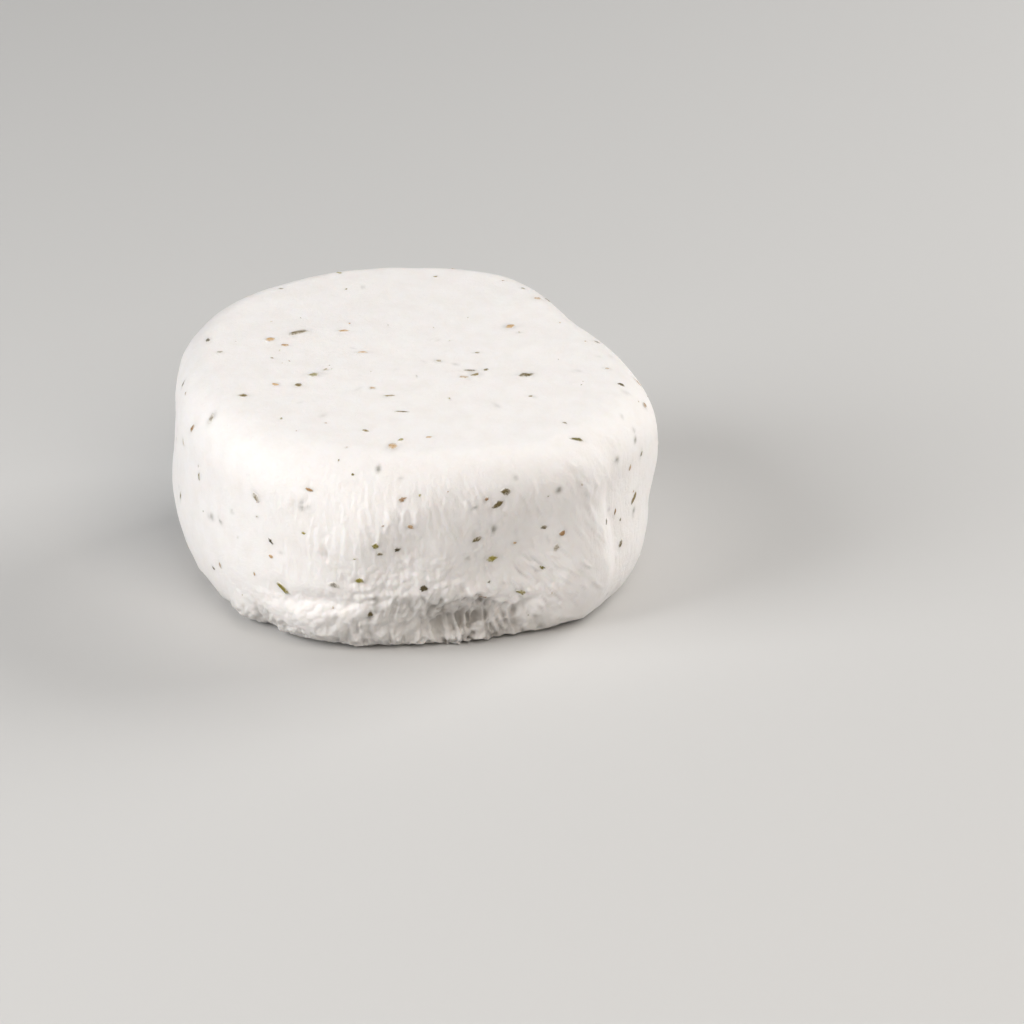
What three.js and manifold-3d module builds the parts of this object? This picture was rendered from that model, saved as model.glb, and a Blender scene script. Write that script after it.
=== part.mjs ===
// A round of fresh goat cheese with herbs, standing on its base.
//
// It is one soft white drum of pressed curd. It was shaped by hand, so its plan is a rounded,
// lopsided square, its top leans, its front has a wide flat hollow that ends in an upright ridge
// at the right, and its foot is torn and lumpy. Chopped herbs run through the curd, and the
// largest flakes stand a little out of the skin.
//
// Millimetres, +Z up. The origin is the middle of the plan, on the surface under the cheese.
// The front is -Y. Bearings are degrees round +Z from +X, so the front is -90.
import * as THREE from "three";
import { mergeVertices } from "three/addons/utils/BufferGeometryUtils.js";
import Module from "manifold-3d";

// Driving dimensions of the plain drum, before it is pushed out of true
const BELLY_RADIUS = 70.6;
const HEIGHT = 64;
const FOOT_INSET = 13.3; // how far the footprint's edge lies inside the belly
const FOOT_RISE = 25; // height at which the foot's curve reaches the belly
const SHOULDER_INSET = 12.8;
const SHOULDER_DROP = 16.8;
const TOP_CROWN = 1; // rise of the top's middle over its edge

// The top leans: it falls to the right and rises to the back, in mm per mm
const TOP_FALL_RIGHT = 0.046;
const TOP_RISE_BACK = 0.054;

// Slow waves of the plan outline: number of lobes, height of a lobe, bearing of one crest
const PLAN_WAVES = [
  { lobes: 2, swell: 1.6, bearing: 115 },
  { lobes: 3, swell: 1.5, bearing: 90 },
  { lobes: 4, swell: 1.5, bearing: 65 },
];

// Places where the side is pushed out (+) or in (-). Each fades away over its spread, in degrees to
// either side, and its reach, in mm up and down. Drift turns its middle as it rises, in degrees per mm.
const PUSHES = {
  frontHollow: { bearing: -65, height: 22, spread: 22, reach: 25.5, out: -7.5, drift: 0.55 },
  frontRightRidge: { bearing: -46, height: 26, spread: 8.5, reach: 31, out: 4, drift: -0.1 },
  ridgeCorner: { bearing: -44, height: 57.5, spread: 7, reach: 11, out: 1, drift: 0 },
  frontSwell: { bearing: -96, height: 43, spread: 10, reach: 12, out: 3, drift: 0.4 },
  curdLedge: { bearing: -72, height: 18.5, spread: 10, reach: 4, out: 2, drift: 0 },
  ledgeGroove: { bearing: -72, height: 9.5, spread: 20, reach: 4.5, out: -2.6, drift: 0 },
  frontLip: { bearing: -75, height: 0.5, spread: 19, reach: 4.6, out: 4, drift: 0 },
  frontLump: { bearing: -113, height: 7, spread: 11, reach: 8, out: 2.4, drift: 0 },
  lumpCrease: { bearing: -111, height: 17, spread: 9, reach: 3, out: -1.6, drift: 0 },
  tornNotch: { bearing: -129, height: 3, spread: 2.8, reach: 6, out: -2, drift: 0 },
  tornTab: { bearing: -135, height: 2, spread: 4.5, reach: 7, out: 2.2, drift: 0 },
  leftShoulder: { bearing: -179, height: 47, spread: 10, reach: 18, out: -1.2, drift: 0 },
  leftFoot: { bearing: 172, height: 24, spread: 12, reach: 9, out: 1.2, drift: 0 },
  rightFacet: { bearing: -27, height: 48, spread: 15, reach: 24, out: -1.5, drift: 0 },
  rightBelly: { bearing: 1, height: 40, spread: 14.5, reach: 15, out: 3.2, drift: 0 },
  rightWaist: { bearing: -16, height: 26, spread: 23.5, reach: 20, out: -0.9, drift: 0 },
  rightLump: { bearing: 21, height: 6, spread: 10, reach: 7, out: 1.5, drift: 0 },
  backRightDent: { bearing: 37, height: 54, spread: 13.5, reach: 15.5, out: -3.7, drift: 0 },
  backCorner: { bearing: 66.5, height: 60, spread: 11, reach: 17.5, out: 3.2, drift: 0 },
  backHollow: { bearing: 110, height: 28, spread: 18, reach: 18, out: -2.5, drift: -0.4 },
  backLump: { bearing: 93, height: 7, spread: 12, reach: 8, out: 1.8, drift: 0 },
  backLeftRidge: { bearing: 141, height: 30, spread: 8, reach: 22, out: 1.6, drift: 0.2 },
};

// The torn foot: waves round the rim of the footprint that die out upwards
const TORN_WAVES = [
  { lobes: 17, swell: 0.5, bearing: 4 },
  { lobes: 29, swell: 0.45, bearing: 9 },
  { lobes: 41, swell: 0.35, bearing: 2 },
];
const TORN_REACH = 7;

// Lumps of curd stand out where the foot is torn. The tear's height is least at the sides and
// rises in front and behind, and the lumps follow a rule up to there.
const TEAR_HEIGHT = 6;
const TEAR_RISES = [
  { bearing: -80, spread: 25, rise: 11 },
  { bearing: 98, spread: 26, rise: 6 },
];
const CURD_LUMP_COUNT = 70;
const CURD_LUMP_OUT = { least: 0.5, most: 1.7 };
const CURD_LUMP_SPREAD = { least: 2, most: 3.6 }; // degrees
const CURD_LUMP_REACH_SHARE = 1.1; // millimetres for each degree of spread
const WHOLE_SHARE = 0.25; // share of the tear's relief that is left where the foot is whole
const FULL_TEAR_RISE = 6; // extra tear height at which all of it shows

// Herb flakes. The largest that show have their own places, each given as bearing, distance up the
// skin from the footprint's edge, length, width, and how far the length is turned from level.
const FLAKE_PROUD = 0.45; // how far a flake stands out of the skin, and how deep it sits
const TOP_FLAKES = [
  [159, 99, 7, 1.8, 145],
  [169, 92.5, 2.6, 1.6, 117],
  [143, 110, 3.3, 1.2, 132],
  [176, 120, 3.2, 1.1, 98],
  [-152, 102.5, 3.2, 1.8, 88],
  [-146, 95.5, 2.6, 2, 40],
  [-104, 85, 2.4, 1.6, 175],
  [-102, 107.5, 3.3, 1, 21],
  [-93, 98, 5.2, 0.9, 178],
  [-25, 115.5, 2.8, 1, 121],
  [-14, 100, 4.4, 1.7, 131],
  [39, 93.5, 3, 1.9, 93],
];
const EDGE_FLAKES = [
  [-149, 78, 2.9, 1.5, 76],
  [-149, 66, 3.2, 2, 96],
  [-156, 59, 2.9, 1.2, 52],
  [-94, 77.5, 3.4, 2.4, 154],
  [-43, 71, 4.4, 1.6, 142],
  [-9, 72.5, 2.8, 1.5, 99],
  [-9, 63, 2.8, 1.6, 172],
  [49, 70.5, 2.9, 1.3, 39],
  [132, 76.5, 2.6, 1.6, 162],
];
const SIDE_FLAKES = [
  [-127, 52, 3.2, 2, 128],
  [-123, 39.5, 2.5, 1.5, 132],
  [-120, 25, 5.4, 1.2, 137],
  [-113, 59, 2.5, 1.4, 176],
  [-107, 29.5, 2.8, 2.2, 164],
  [-91, 59.5, 2.5, 1.4, 20],
  [-86, 28, 2.5, 2, 156],
  [-73, 43, 2.6, 1.7, 16],
  [-68, 34, 3.6, 1.8, 2],
  [-68, 55, 3.5, 1.7, 28],
  [-66, 59, 2.5, 2, 7],
  [-60, 21.5, 2.7, 1.3, 164],
  [-25, 40.5, 3.5, 1.2, 39],
];

// The flakes of the back follow a rule: an even spread over that part of the side, in sizes that repeat
const BACK_FLAKE_COUNT = 46;
const BACK_BEARINGS = { from: -12, to: 205 };
const BACK_ALONG = { from: 9, to: 76 };
const BACK_FLAKE_LENGTH = { least: 1.9, most: 3.4 };
const BACK_FLAKE_WIDTH_SHARE = 0.6; // of the length
const SPREAD_STEP = [0.7548776662, 0.569840291, 0.4142135624, 0.618033988]; // irrational steps

// Fineness of the mesh
const SIDES = 144;
const FOOT_ROWS = 12;
const WALL_ROWS = 6;
const SHOULDER_ROWS = 6;
const TOP_ROWS = 4;

// The drum's meridian from the footprint's edge, up the side and over the top to the axis
const footCurve = new THREE.EllipseCurve(
  BELLY_RADIUS - FOOT_INSET,
  FOOT_RISE,
  FOOT_INSET,
  FOOT_RISE,
  -Math.PI / 2,
  0,
);
const wallLine = new THREE.LineCurve(
  new THREE.Vector2(BELLY_RADIUS, FOOT_RISE),
  new THREE.Vector2(BELLY_RADIUS, HEIGHT - SHOULDER_DROP),
);
const shoulderCurve = new THREE.EllipseCurve(
  BELLY_RADIUS - SHOULDER_INSET,
  HEIGHT - SHOULDER_DROP,
  SHOULDER_INSET,
  SHOULDER_DROP,
  0,
  Math.PI / 2,
);
const topRadius = BELLY_RADIUS - SHOULDER_INSET;
const topCurve = new THREE.QuadraticBezierCurve(
  new THREE.Vector2(topRadius, HEIGHT),
  new THREE.Vector2(topRadius / 2, HEIGHT + TOP_CROWN),
  new THREE.Vector2(0, HEIGHT + TOP_CROWN),
);
const skin = new THREE.CurvePath();
[footCurve, wallLine, shoulderCurve, topCurve].forEach((curve) => skin.add(curve));

const wrapDegrees = (angle) => ((((angle + 180) % 360) + 360) % 360) - 180;
const fraction = (value) => value - Math.floor(value);
const waveSum = (waves, bearing) =>
  waves.reduce(
    (sum, w) => sum + w.swell * Math.cos(THREE.MathUtils.degToRad(w.lobes * (bearing - w.bearing))),
    0,
  );

// A rule for spreading things: each of their numbers steps on by its own irrational share, so they
// never line up and never crowd. Each thing gets four shares between 0 and 1.
const spread = (count) =>
  Array.from({ length: count }, (_, i) => SPREAD_STEP.map((step) => fraction((i + 1) * step)));

const bell = (value, width) => Math.exp(-((value / width) ** 2));

function tearHeight(bearing) {
  return TEAR_RISES.reduce(
    (height, t) => height + t.rise * bell(wrapDegrees(bearing - t.bearing), t.spread),
    TEAR_HEIGHT,
  );
}

// How much of the tear's relief shows at a bearing: all of it where the tear rises high
function tornShare(bearing) {
  const rise = tearHeight(bearing) - TEAR_HEIGHT;
  return WHOLE_SHARE + (1 - WHOLE_SHARE) * Math.min(1, rise / FULL_TEAR_RISE);
}

const curdLumps = spread(CURD_LUMP_COUNT).map(([round, rise, size, stand]) => {
  const bearing = 360 * round - 180;
  const width = THREE.MathUtils.lerp(CURD_LUMP_SPREAD.least, CURD_LUMP_SPREAD.most, size);
  return {
    bearing,
    height: rise * tearHeight(bearing),
    spread: width,
    reach: CURD_LUMP_REACH_SHARE * width,
    out: THREE.MathUtils.lerp(CURD_LUMP_OUT.least, CURD_LUMP_OUT.most, stand) * tornShare(bearing),
    drift: 0,
  };
});
const allPushes = [...Object.values(PUSHES), ...curdLumps];

// How far the side at this bearing and height is pushed out of the plain drum
function pushedOut(bearing, height) {
  const torn = tornShare(bearing) * waveSum(TORN_WAVES, bearing) * bell(height, TORN_REACH);
  return allPushes.reduce((sum, p) => {
    const above = height - p.height;
    const across = wrapDegrees(bearing - p.bearing - p.drift * above);
    return sum + p.out * bell(across, p.spread) * bell(above, p.reach);
  }, waveSum(PLAN_WAVES, bearing) + torn);
}

// A point of the plain drum, moved to where the real skin is
function shaped(radius, height, bearing) {
  const angle = THREE.MathUtils.degToRad(bearing);
  const reach = radius * (1 + pushedOut(bearing, height) / BELLY_RADIUS);
  const x = reach * Math.cos(angle);
  const y = reach * Math.sin(angle);
  const lean = (height / HEIGHT) ** 2 * (TOP_RISE_BACK * y - TOP_FALL_RIGHT * x);
  return new THREE.Vector3(x, y, height + lean);
}

// A point of the skin, by its bearing and its distance up the skin from the footprint's edge
function skinPoint(bearing, along) {
  const { x: radius, y: height } = skin.getPoint(along / skin.getLength());
  return shaped(radius, height, bearing);
}

const wasm = await Module();
wasm.setup();

// A closed geometry as a solid: vertices merged, and triangles that this makes empty dropped
function solidFrom(geometry) {
  const bare = geometry.clone();
  bare.deleteAttribute("normal");
  bare.deleteAttribute("uv");
  const merged = mergeVertices(bare, 1e-3);
  const corners = merged.index.array;
  const kept = [];
  for (let i = 0; i < corners.length; i += 3) {
    const [a, b, c] = corners.slice(i, i + 3);
    if (a !== b && b !== c && c !== a) kept.push(a, b, c);
  }
  return new wasm.Manifold(
    new wasm.Mesh({
      numProp: 3,
      vertProperties: merged.attributes.position.array,
      triVerts: new Uint32Array(kept),
    }),
  );
}

function geometryFrom(solid) {
  const mesh = solid.getMesh();
  const geometry = new THREE.BufferGeometry();
  geometry.setAttribute("position", new THREE.BufferAttribute(mesh.vertProperties, 3));
  geometry.setIndex(new THREE.BufferAttribute(mesh.triVerts, 1));
  geometry.computeVertexNormals();
  return geometry;
}

// The drum: its meridian turned round the axis, then each point moved to the real skin
function drum() {
  const meridian = [
    new THREE.Vector2(0, 0),
    ...footCurve.getSpacedPoints(FOOT_ROWS),
    ...wallLine.getSpacedPoints(WALL_ROWS).slice(1),
    ...shoulderCurve.getSpacedPoints(SHOULDER_ROWS).slice(1),
    ...topCurve.getSpacedPoints(TOP_ROWS).slice(1),
  ];
  const lathe = new THREE.LatheGeometry(meridian, SIDES).rotateX(Math.PI / 2);
  const places = lathe.attributes.position;
  for (let i = 0; i < places.count; i++) {
    const radius = Math.hypot(places.getX(i), places.getY(i));
    const bearing = THREE.MathUtils.radToDeg(Math.atan2(places.getY(i), places.getX(i)));
    const moved = shaped(radius, Math.max(places.getZ(i), 0), bearing);
    places.setXYZ(i, moved.x, moved.y, moved.z);
  }
  return solidFrom(lathe);
}

// A herb flake: a flat faceted lens lying in the skin, half sunk
function flake([bearing, along, length, width, turn]) {
  const step = 0.5;
  const centre = skinPoint(bearing, along);
  const round = skinPoint(bearing + step, along).sub(skinPoint(bearing - step, along)).normalize();
  const up = skinPoint(bearing, along + step).sub(skinPoint(bearing, along - step)).normalize();
  const outward = round.clone().cross(up).normalize();
  const level = up.clone().cross(outward).normalize();
  const frame = new THREE.Matrix4().makeBasis(level, up, outward).setPosition(centre);
  const lens = new THREE.IcosahedronGeometry(1, 0)
    .scale(length / 2, width / 2, FLAKE_PROUD)
    .rotateZ(THREE.MathUtils.degToRad(turn))
    .applyMatrix4(frame);
  return solidFrom(lens);
}

const backFlakes = spread(BACK_FLAKE_COUNT).map(([round, rise, size, spin]) => {
  const length = THREE.MathUtils.lerp(BACK_FLAKE_LENGTH.least, BACK_FLAKE_LENGTH.most, size ** 2);
  return [
    THREE.MathUtils.lerp(BACK_BEARINGS.from, BACK_BEARINGS.to, round),
    THREE.MathUtils.lerp(BACK_ALONG.from, BACK_ALONG.to, rise),
    length,
    BACK_FLAKE_WIDTH_SHARE * length,
    180 * spin,
  ];
});

const solid = [...TOP_FLAKES, ...EDGE_FLAKES, ...SIDE_FLAKES, ...backFlakes].reduce(
  (sum, one) => sum.add(flake(one)),
  drum(),
);

// The middle of the plan goes to the origin
const geometry = geometryFrom(solid);
geometry.computeBoundingBox();
const middle = geometry.boundingBox.getCenter(new THREE.Vector3());
geometry.translate(-middle.x, -middle.y, -geometry.boundingBox.min.z);

const freshCurd = new THREE.MeshStandardMaterial({
  color: 0xf4efe9,
  roughness: 0.62,
  metalness: 0,
});

const cheese = new THREE.Mesh(geometry, freshCurd);
cheese.name = "cheese_round";

const cheeseWithHerbs = new THREE.Group();
cheeseWithHerbs.add(cheese);

export default cheeseWithHerbs;
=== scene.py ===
import bpy
import numpy as np
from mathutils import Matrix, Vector


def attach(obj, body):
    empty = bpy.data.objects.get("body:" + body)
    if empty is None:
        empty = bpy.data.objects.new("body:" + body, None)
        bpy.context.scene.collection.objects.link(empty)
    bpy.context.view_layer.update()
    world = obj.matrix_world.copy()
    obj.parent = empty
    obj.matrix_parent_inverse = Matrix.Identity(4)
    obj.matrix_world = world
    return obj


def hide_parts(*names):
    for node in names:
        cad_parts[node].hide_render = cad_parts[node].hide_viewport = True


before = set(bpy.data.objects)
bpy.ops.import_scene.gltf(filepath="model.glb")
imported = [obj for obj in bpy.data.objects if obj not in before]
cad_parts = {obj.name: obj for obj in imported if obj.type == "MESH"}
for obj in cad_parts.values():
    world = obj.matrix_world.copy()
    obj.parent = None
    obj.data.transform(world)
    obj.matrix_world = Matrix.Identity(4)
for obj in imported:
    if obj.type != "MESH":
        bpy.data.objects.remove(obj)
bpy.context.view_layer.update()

# The curd
# One drum of fresh white goat curd, pressed in a mould and then handled, so it leans and bulges.
# Fingers smeared its side upright, and its foot tore where it was lifted off its mat.

MM = 0.001  # sizes below are millimetres and bearings are degrees; the frame is in metres
BELLY_RADIUS = 70.6
HEIGHT = 64.0
FOOT_INSET = 13.3  # how far the footprint's edge lies inside the belly
FOOT_RISE = 25.0  # height at which the foot's curve reaches the belly
SHOULDER_INSET = 12.8
SHOULDER_DROP = 16.8
TOP_CROWN = 1.0
TOP_FALL_RIGHT = 0.046  # millimetres for each millimetre, as is the next
TOP_RISE_BACK = 0.054

# Waves round the plan: lobes, swell, bearing of one crest. The torn waves are those of the foot's rim.
PLAN_WAVES = ((2, 1.6, 115), (3, 1.5, 90), (4, 1.5, 65))
TORN_WAVES = ((17, 0.5, 4), (29, 0.45, 9), (41, 0.35, 2))
TORN_REACH = 7.0  # height over which the rim's waves fade out

# Places where the side is pushed out or in: bearing, height, spread, reach, out, drift
PUSHES = {
    "front hollow": (-65, 22, 22, 25.5, -7.5, 0.55),
    "front right ridge": (-46, 26, 8.5, 31, 4, -0.1),
    "ridge corner": (-44, 57.5, 7, 11, 1, 0),
    "front swell": (-96, 43, 10, 12, 3, 0.4),
    "curd ledge": (-72, 18.5, 10, 4, 2, 0),
    "ledge groove": (-72, 9.5, 20, 4.5, -2.6, 0),
    "front lip": (-75, 0.5, 19, 4.6, 4, 0),
    "front lump": (-113, 7, 11, 8, 2.4, 0),
    "lump crease": (-111, 17, 9, 3, -1.6, 0),
    "torn notch": (-129, 3, 2.8, 6, -2, 0),
    "torn tab": (-135, 2, 4.5, 7, 2.2, 0),
    "left shoulder": (-179, 47, 10, 18, -1.2, 0),
    "left foot": (172, 24, 12, 9, 1.2, 0),
    "right facet": (-27, 48, 15, 24, -1.5, 0),
    "right belly": (1, 40, 14.5, 15, 3.2, 0),
    "right waist": (-16, 26, 23.5, 20, -0.9, 0),
    "right lump": (21, 6, 10, 7, 1.5, 0),
    "back right dent": (37, 54, 13.5, 15.5, -3.7, 0),
    "back corner": (66.5, 60, 11, 17.5, 3.2, 0),
    "back hollow": (110, 28, 18, 18, -2.5, -0.4),
    "back lump": (93, 7, 12, 8, 1.8, 0),
    "back left ridge": (141, 30, 8, 22, 1.6, 0.2),
}


def wrapped(angle):
    """The same angle between -180 and 180 degrees."""
    return (angle + 180) % 360 - 180


def bell(value, spread):
    """A bell curve of height one round zero."""
    return np.exp(-(value / spread) ** 2)


def bumps_round(bearing, places):
    """Sum of bell curves round the axis, each at a bearing, with a spread and a height."""
    return sum(height * bell(wrapped(bearing - at), spread) for at, spread, height in places)


def between(limits, share):
    """A value at a share of the way between two limits."""
    return limits[0] + (limits[1] - limits[0]) * share


# Lumps of curd stand out where the foot is torn, up to a line that is higher in front and behind
TEAR_HEIGHT = 6.0
TEAR_RISES = ((-80, 25, 11.0), (98, 26, 6.0))  # bearing, spread and extra height
LUMP_COUNT = 70
LUMP_OUT = (0.5, 1.7)
LUMP_SPREAD = (2.0, 3.6)
LUMP_REACH_SHARE = 1.1  # millimetres for each degree of spread
WHOLE_SHARE = 0.25  # share of the tear's relief that is left where the foot is whole
FULL_TEAR_RISE = 6.0  # extra tear height at which all of it shows
SPREAD_STEP = np.array([0.7548776662, 0.569840291, 0.4142135624, 0.618033988])  # irrational


def evenly_spread(count):
    """Four shares between 0 and 1 for each thing, each stepping on by its own irrational number."""
    return np.arange(1, count + 1)[:, None] * SPREAD_STEP % 1


def tear_height(bearing):
    """Height up to which the foot is torn."""
    return TEAR_HEIGHT + bumps_round(bearing, TEAR_RISES)


def torn_share(bearing):
    """How much of the tear's relief shows at a bearing: all of it where the tear rises high."""
    rise = tear_height(bearing) - TEAR_HEIGHT
    return WHOLE_SHARE + (1 - WHOLE_SHARE) * np.minimum(1, rise / FULL_TEAR_RISE)


def curd_lump_pushes():
    """A push for each lump of curd at the foot, in the columns of the pushes above."""
    round_share, rise, size, stand = evenly_spread(LUMP_COUNT).T
    bearing = 360 * round_share - 180
    spread = between(LUMP_SPREAD, size)
    return np.stack([
        bearing,
        rise * tear_height(bearing),
        spread,
        LUMP_REACH_SHARE * spread,
        between(LUMP_OUT, stand) * torn_share(bearing),
        0 * bearing,
    ], axis=-1)


ALL_PUSHES = [*PUSHES.values(), *curd_lump_pushes()]
ARC_POINTS = 600  # points on each of the meridian's five stretches


def plain_meridian():
    """Radius, height and distance along the plain drum's skin, from the base's middle to the top's.

    A level line makes the base, a quarter ellipse the foot, an upright line the wall, a quarter ellipse
    the shoulder and a parabola the top. The distance is zero at the footprint's edge.
    """
    share = np.linspace(0, 1, ARC_POINTS)
    turn = share * np.pi / 2
    foot_radius = BELLY_RADIUS - FOOT_INSET
    top_radius = BELLY_RADIUS - SHOULDER_INSET
    radius = np.concatenate([
        foot_radius * share,
        BELLY_RADIUS - FOOT_INSET * (1 - np.sin(turn)),
        BELLY_RADIUS + 0 * share,
        BELLY_RADIUS - SHOULDER_INSET * (1 - np.cos(turn)),
        top_radius * (1 - share),
    ])
    height = np.concatenate([
        0 * share,
        FOOT_RISE * (1 - np.cos(turn)),
        FOOT_RISE + (HEIGHT - SHOULDER_DROP - FOOT_RISE) * share,
        HEIGHT - SHOULDER_DROP * (1 - np.sin(turn)),
        HEIGHT + TOP_CROWN * (1 - (1 - share) ** 2),
    ])
    walked = np.cumsum(np.hypot(np.diff(radius, prepend=0), np.diff(height, prepend=0)))
    return radius, height, walked - foot_radius


MERIDIAN_RADIUS, MERIDIAN_HEIGHT, MERIDIAN_ALONG = plain_meridian()
SKIN_LENGTH = MERIDIAN_ALONG[-1]
TOP_LENGTH = BELLY_RADIUS - SHOULDER_INSET
SIDE_LENGTH = SKIN_LENGTH - TOP_LENGTH
BASE_LENGTH = BELLY_RADIUS - FOOT_INSET


def radius_at(along):
    """Radius of the plain drum at a distance along its skin."""
    return np.interp(along, MERIDIAN_ALONG, MERIDIAN_RADIUS)


def height_at(along):
    """Height of the plain drum at a distance along its skin."""
    return np.interp(along, MERIDIAN_ALONG, MERIDIAN_HEIGHT)


def wave_sum(waves, bearing):
    """Sum of cosines round the axis, one for each wave."""
    return sum(swell * np.cos(np.radians(lobes * (bearing - crest))) for lobes, swell, crest in waves)


def plain_skin(bearing, along):
    """Points of the drum pushed out of true, without its fine relief.

    The plain radius grows by the waves and pushes at that bearing and height, each push a bell curve
    both ways. Then the height is sheared, more towards the top, so that the top leans.
    """
    height = height_at(along)
    rim = torn_share(bearing) * wave_sum(TORN_WAVES, bearing) * bell(height, TORN_REACH)
    out = wave_sum(PLAN_WAVES, bearing) + rim
    for at, level, spread, reach, push, drift in ALL_PUSHES:
        above = height - level
        out = out + push * bell(wrapped(bearing - at - drift * above), spread) * bell(above, reach)
    radius = radius_at(along) * (1 + out / BELLY_RADIUS)
    x = radius * np.cos(np.radians(bearing))
    y = radius * np.sin(np.radians(bearing))
    lean = (height / HEIGHT) ** 2 * (TOP_RISE_BACK * y - TOP_FALL_RIGHT * x)
    return np.stack([x, y, height + lean], axis=-1)


AXES_STEP = 0.5  # degrees round, and millimetres along, to the points that give a direction
TINY = 1e-9


def unit(vectors):
    """The vectors at length one."""
    return vectors / np.maximum(np.linalg.norm(vectors, axis=-1, keepdims=True), TINY)


def skin_axes(bearing, along):
    """Level, upward and outward directions of the skin, from points a little to each side."""
    level = unit(plain_skin(bearing + AXES_STEP, along) - plain_skin(bearing - AXES_STEP, along))
    upward = unit(plain_skin(bearing, along + AXES_STEP) - plain_skin(bearing, along - AXES_STEP))
    outward = unit(np.cross(level, upward))
    return level, unit(np.cross(outward, level)), outward


CELL_PRIMES = np.array([73856093, 19349663, 83492791])
SEED_PRIME = 40503
MIXING_PRIME = 1274126177
MIXING_SHIFTS = (13, 16)
HALF_RANGE = 0x7FFFFF


def hashed(cells, seed):
    """A repeatable number from -1 to 1 for each whole-number cell, mixed from its three numbers."""
    x, y, z = np.moveaxis(cells * CELL_PRIMES, -1, 0)
    mixed = x ^ y ^ z ^ seed * SEED_PRIME
    mixed = (mixed ^ (mixed >> MIXING_SHIFTS[0])) * MIXING_PRIME
    mixed = mixed ^ (mixed >> MIXING_SHIFTS[1])
    return (mixed & (2 * HALF_RANGE + 1)) / HALF_RANGE - 1


def soft_noise(points, cell, seed):
    """Smooth noise from -1 to 1: a number at each corner of a lattice, blended by a quintic fade."""
    scaled = points / cell
    low = np.floor(scaled).astype(np.int64)
    part = scaled - low
    part = part ** 3 * (part * (6 * part - 15) + 10)
    total = np.zeros(points.shape[:-1])
    for corner in np.ndindex(2, 2, 2):
        weight = np.prod(np.where(np.array(corner) == 1, part, 1 - part), axis=-1)
        total += weight * hashed(low + np.array(corner), seed)
    return total


LUMP_EDGE = 0.8  # share of a cell from a lump's middle to its edge
LUMP_STRAY = 0.4  # share of a cell that a lump's middle strays from the cell's


def fine_lumps(points, cell, seed):
    """Rounded lumps from 0 to 1: one random centre in each lattice cell, and a dome over the nearest."""
    scaled = points / cell
    low = np.floor(scaled).astype(np.int64)
    nearest = np.full(points.shape[:-1], np.inf)
    for offset in np.ndindex(3, 3, 3):
        at = low + np.array(offset) - 1
        shift = np.stack([hashed(at, seed + k) for k in range(3)], axis=-1)
        nearest = np.minimum(nearest, np.linalg.norm(scaled - at - 0.5 - LUMP_STRAY * shift, axis=-1))
    return np.clip(1 - (nearest / LUMP_EDGE) ** 2, 0, 1)


# Marks that fingers dragged in the soft skin. Each group has a count, the middle and spread of its
# bearings, and the least and most of its places along the skin, lengths, half widths, leans and depths.
# A mark that leans runs down to the right.
DRAG_GROUPS = {
    "front": (210, (-96, 11), (24, 70), (2.5, 9), (0.38, 0.75), (-8, 14), (0.08, 0.36)),
    "front right": (110, (-74, 9), (24, 70), (2.5, 11), (0.38, 0.9), (10, 36), (0.1, 0.5)),
    "ridge": (80, (-50, 6), (34, 68), (5, 14), (0.4, 0.8), (14, 34), (0.1, 0.38)),
    "pleats": (80, (-55, 5), (15, 34), (2.5, 7), (0.38, 0.6), (24, 50), (0.3, 0.8)),
    "right": (50, (-20, 18), (24, 70), (2.5, 9), (0.5, 1.0), (-14, 14), (0.05, 0.25)),
    "back": (130, (102, 28), (24, 70), (2.5, 11), (0.6, 1.1), (-14, 14), (0.1, 0.45)),
    "left": (60, (178, 25), (24, 70), (2.5, 9), (0.6, 1.1), (-14, 14), (0.05, 0.25)),
}
DRAG_POWERS = (1, 1.5, 1, 1, 1.5)  # over 1, more of the draws lie near the least
DRAG_BOW = 0.25
DRAG_CREST = 0.6
DRAG_GROOVE = 1.2
drag_draw = np.random.default_rng(3)


def drag_places(count, round_place, *limits):
    """Bearing, along, length, half width, lean, depth and bow of each mark in a group."""
    along, length, width, lean, depth = (
        between(limit, drag_draw.random(count) ** power) for limit, power in zip(limits, DRAG_POWERS)
    )
    bearing = drag_draw.normal(*round_place, count)
    bow = drag_draw.normal(0, DRAG_BOW, count)
    return np.stack([bearing, along, length, width, lean, depth, bow], axis=-1)


DRAGS = np.concatenate([drag_places(*group) for group in DRAG_GROUPS.values()])


def dragged(bearing, along):
    """Height of the drag marks: each is a ridge with a groove beside it, along a bowed, leaning line."""
    total = np.zeros(bearing.shape)
    for at, level, length, width, lean, depth, bow in DRAGS:
        across = np.radians(wrapped(bearing - at)) * BELLY_RADIUS
        near = (np.abs(across) < length) & (np.abs(along - level) < length)
        up = along[near] - level
        tip = np.radians(lean)
        v = (up * np.cos(tip) - across[near] * np.sin(tip)) / (length / 2)
        u = (across[near] * np.cos(tip) + up * np.sin(tip)) / width - bow * v ** 2
        total[near] += depth * (DRAG_CREST + DRAG_GROOVE * u) * np.exp(-u ** 2 - v ** 4)
    return total


def logistic(value):
    """A smooth step from 0 to 1 round zero."""
    return 1 / (1 + np.exp(-value))


# Fine relief. A layer of it is a height, the size of its cells and a seed.


def noise_layers(points, *layers):
    """Sum of layers of smooth noise."""
    return sum(height * soft_noise(points, cell, seed) for height, cell, seed in layers)


def crest_layers(points, *layers):
    """Sum of layers of noise folded at zero, so that it rises to sharp crests where it was zero."""
    return sum(height * (1 - 2 * np.abs(soft_noise(points, cell, seed))) for height, cell, seed in layers)


def lump_layers(points, *layers):
    """Sum of layers of rounded lumps, each about its middle height."""
    return sum(height * (fine_lumps(points, cell, seed) - 0.5) for height, cell, seed in layers)


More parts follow.
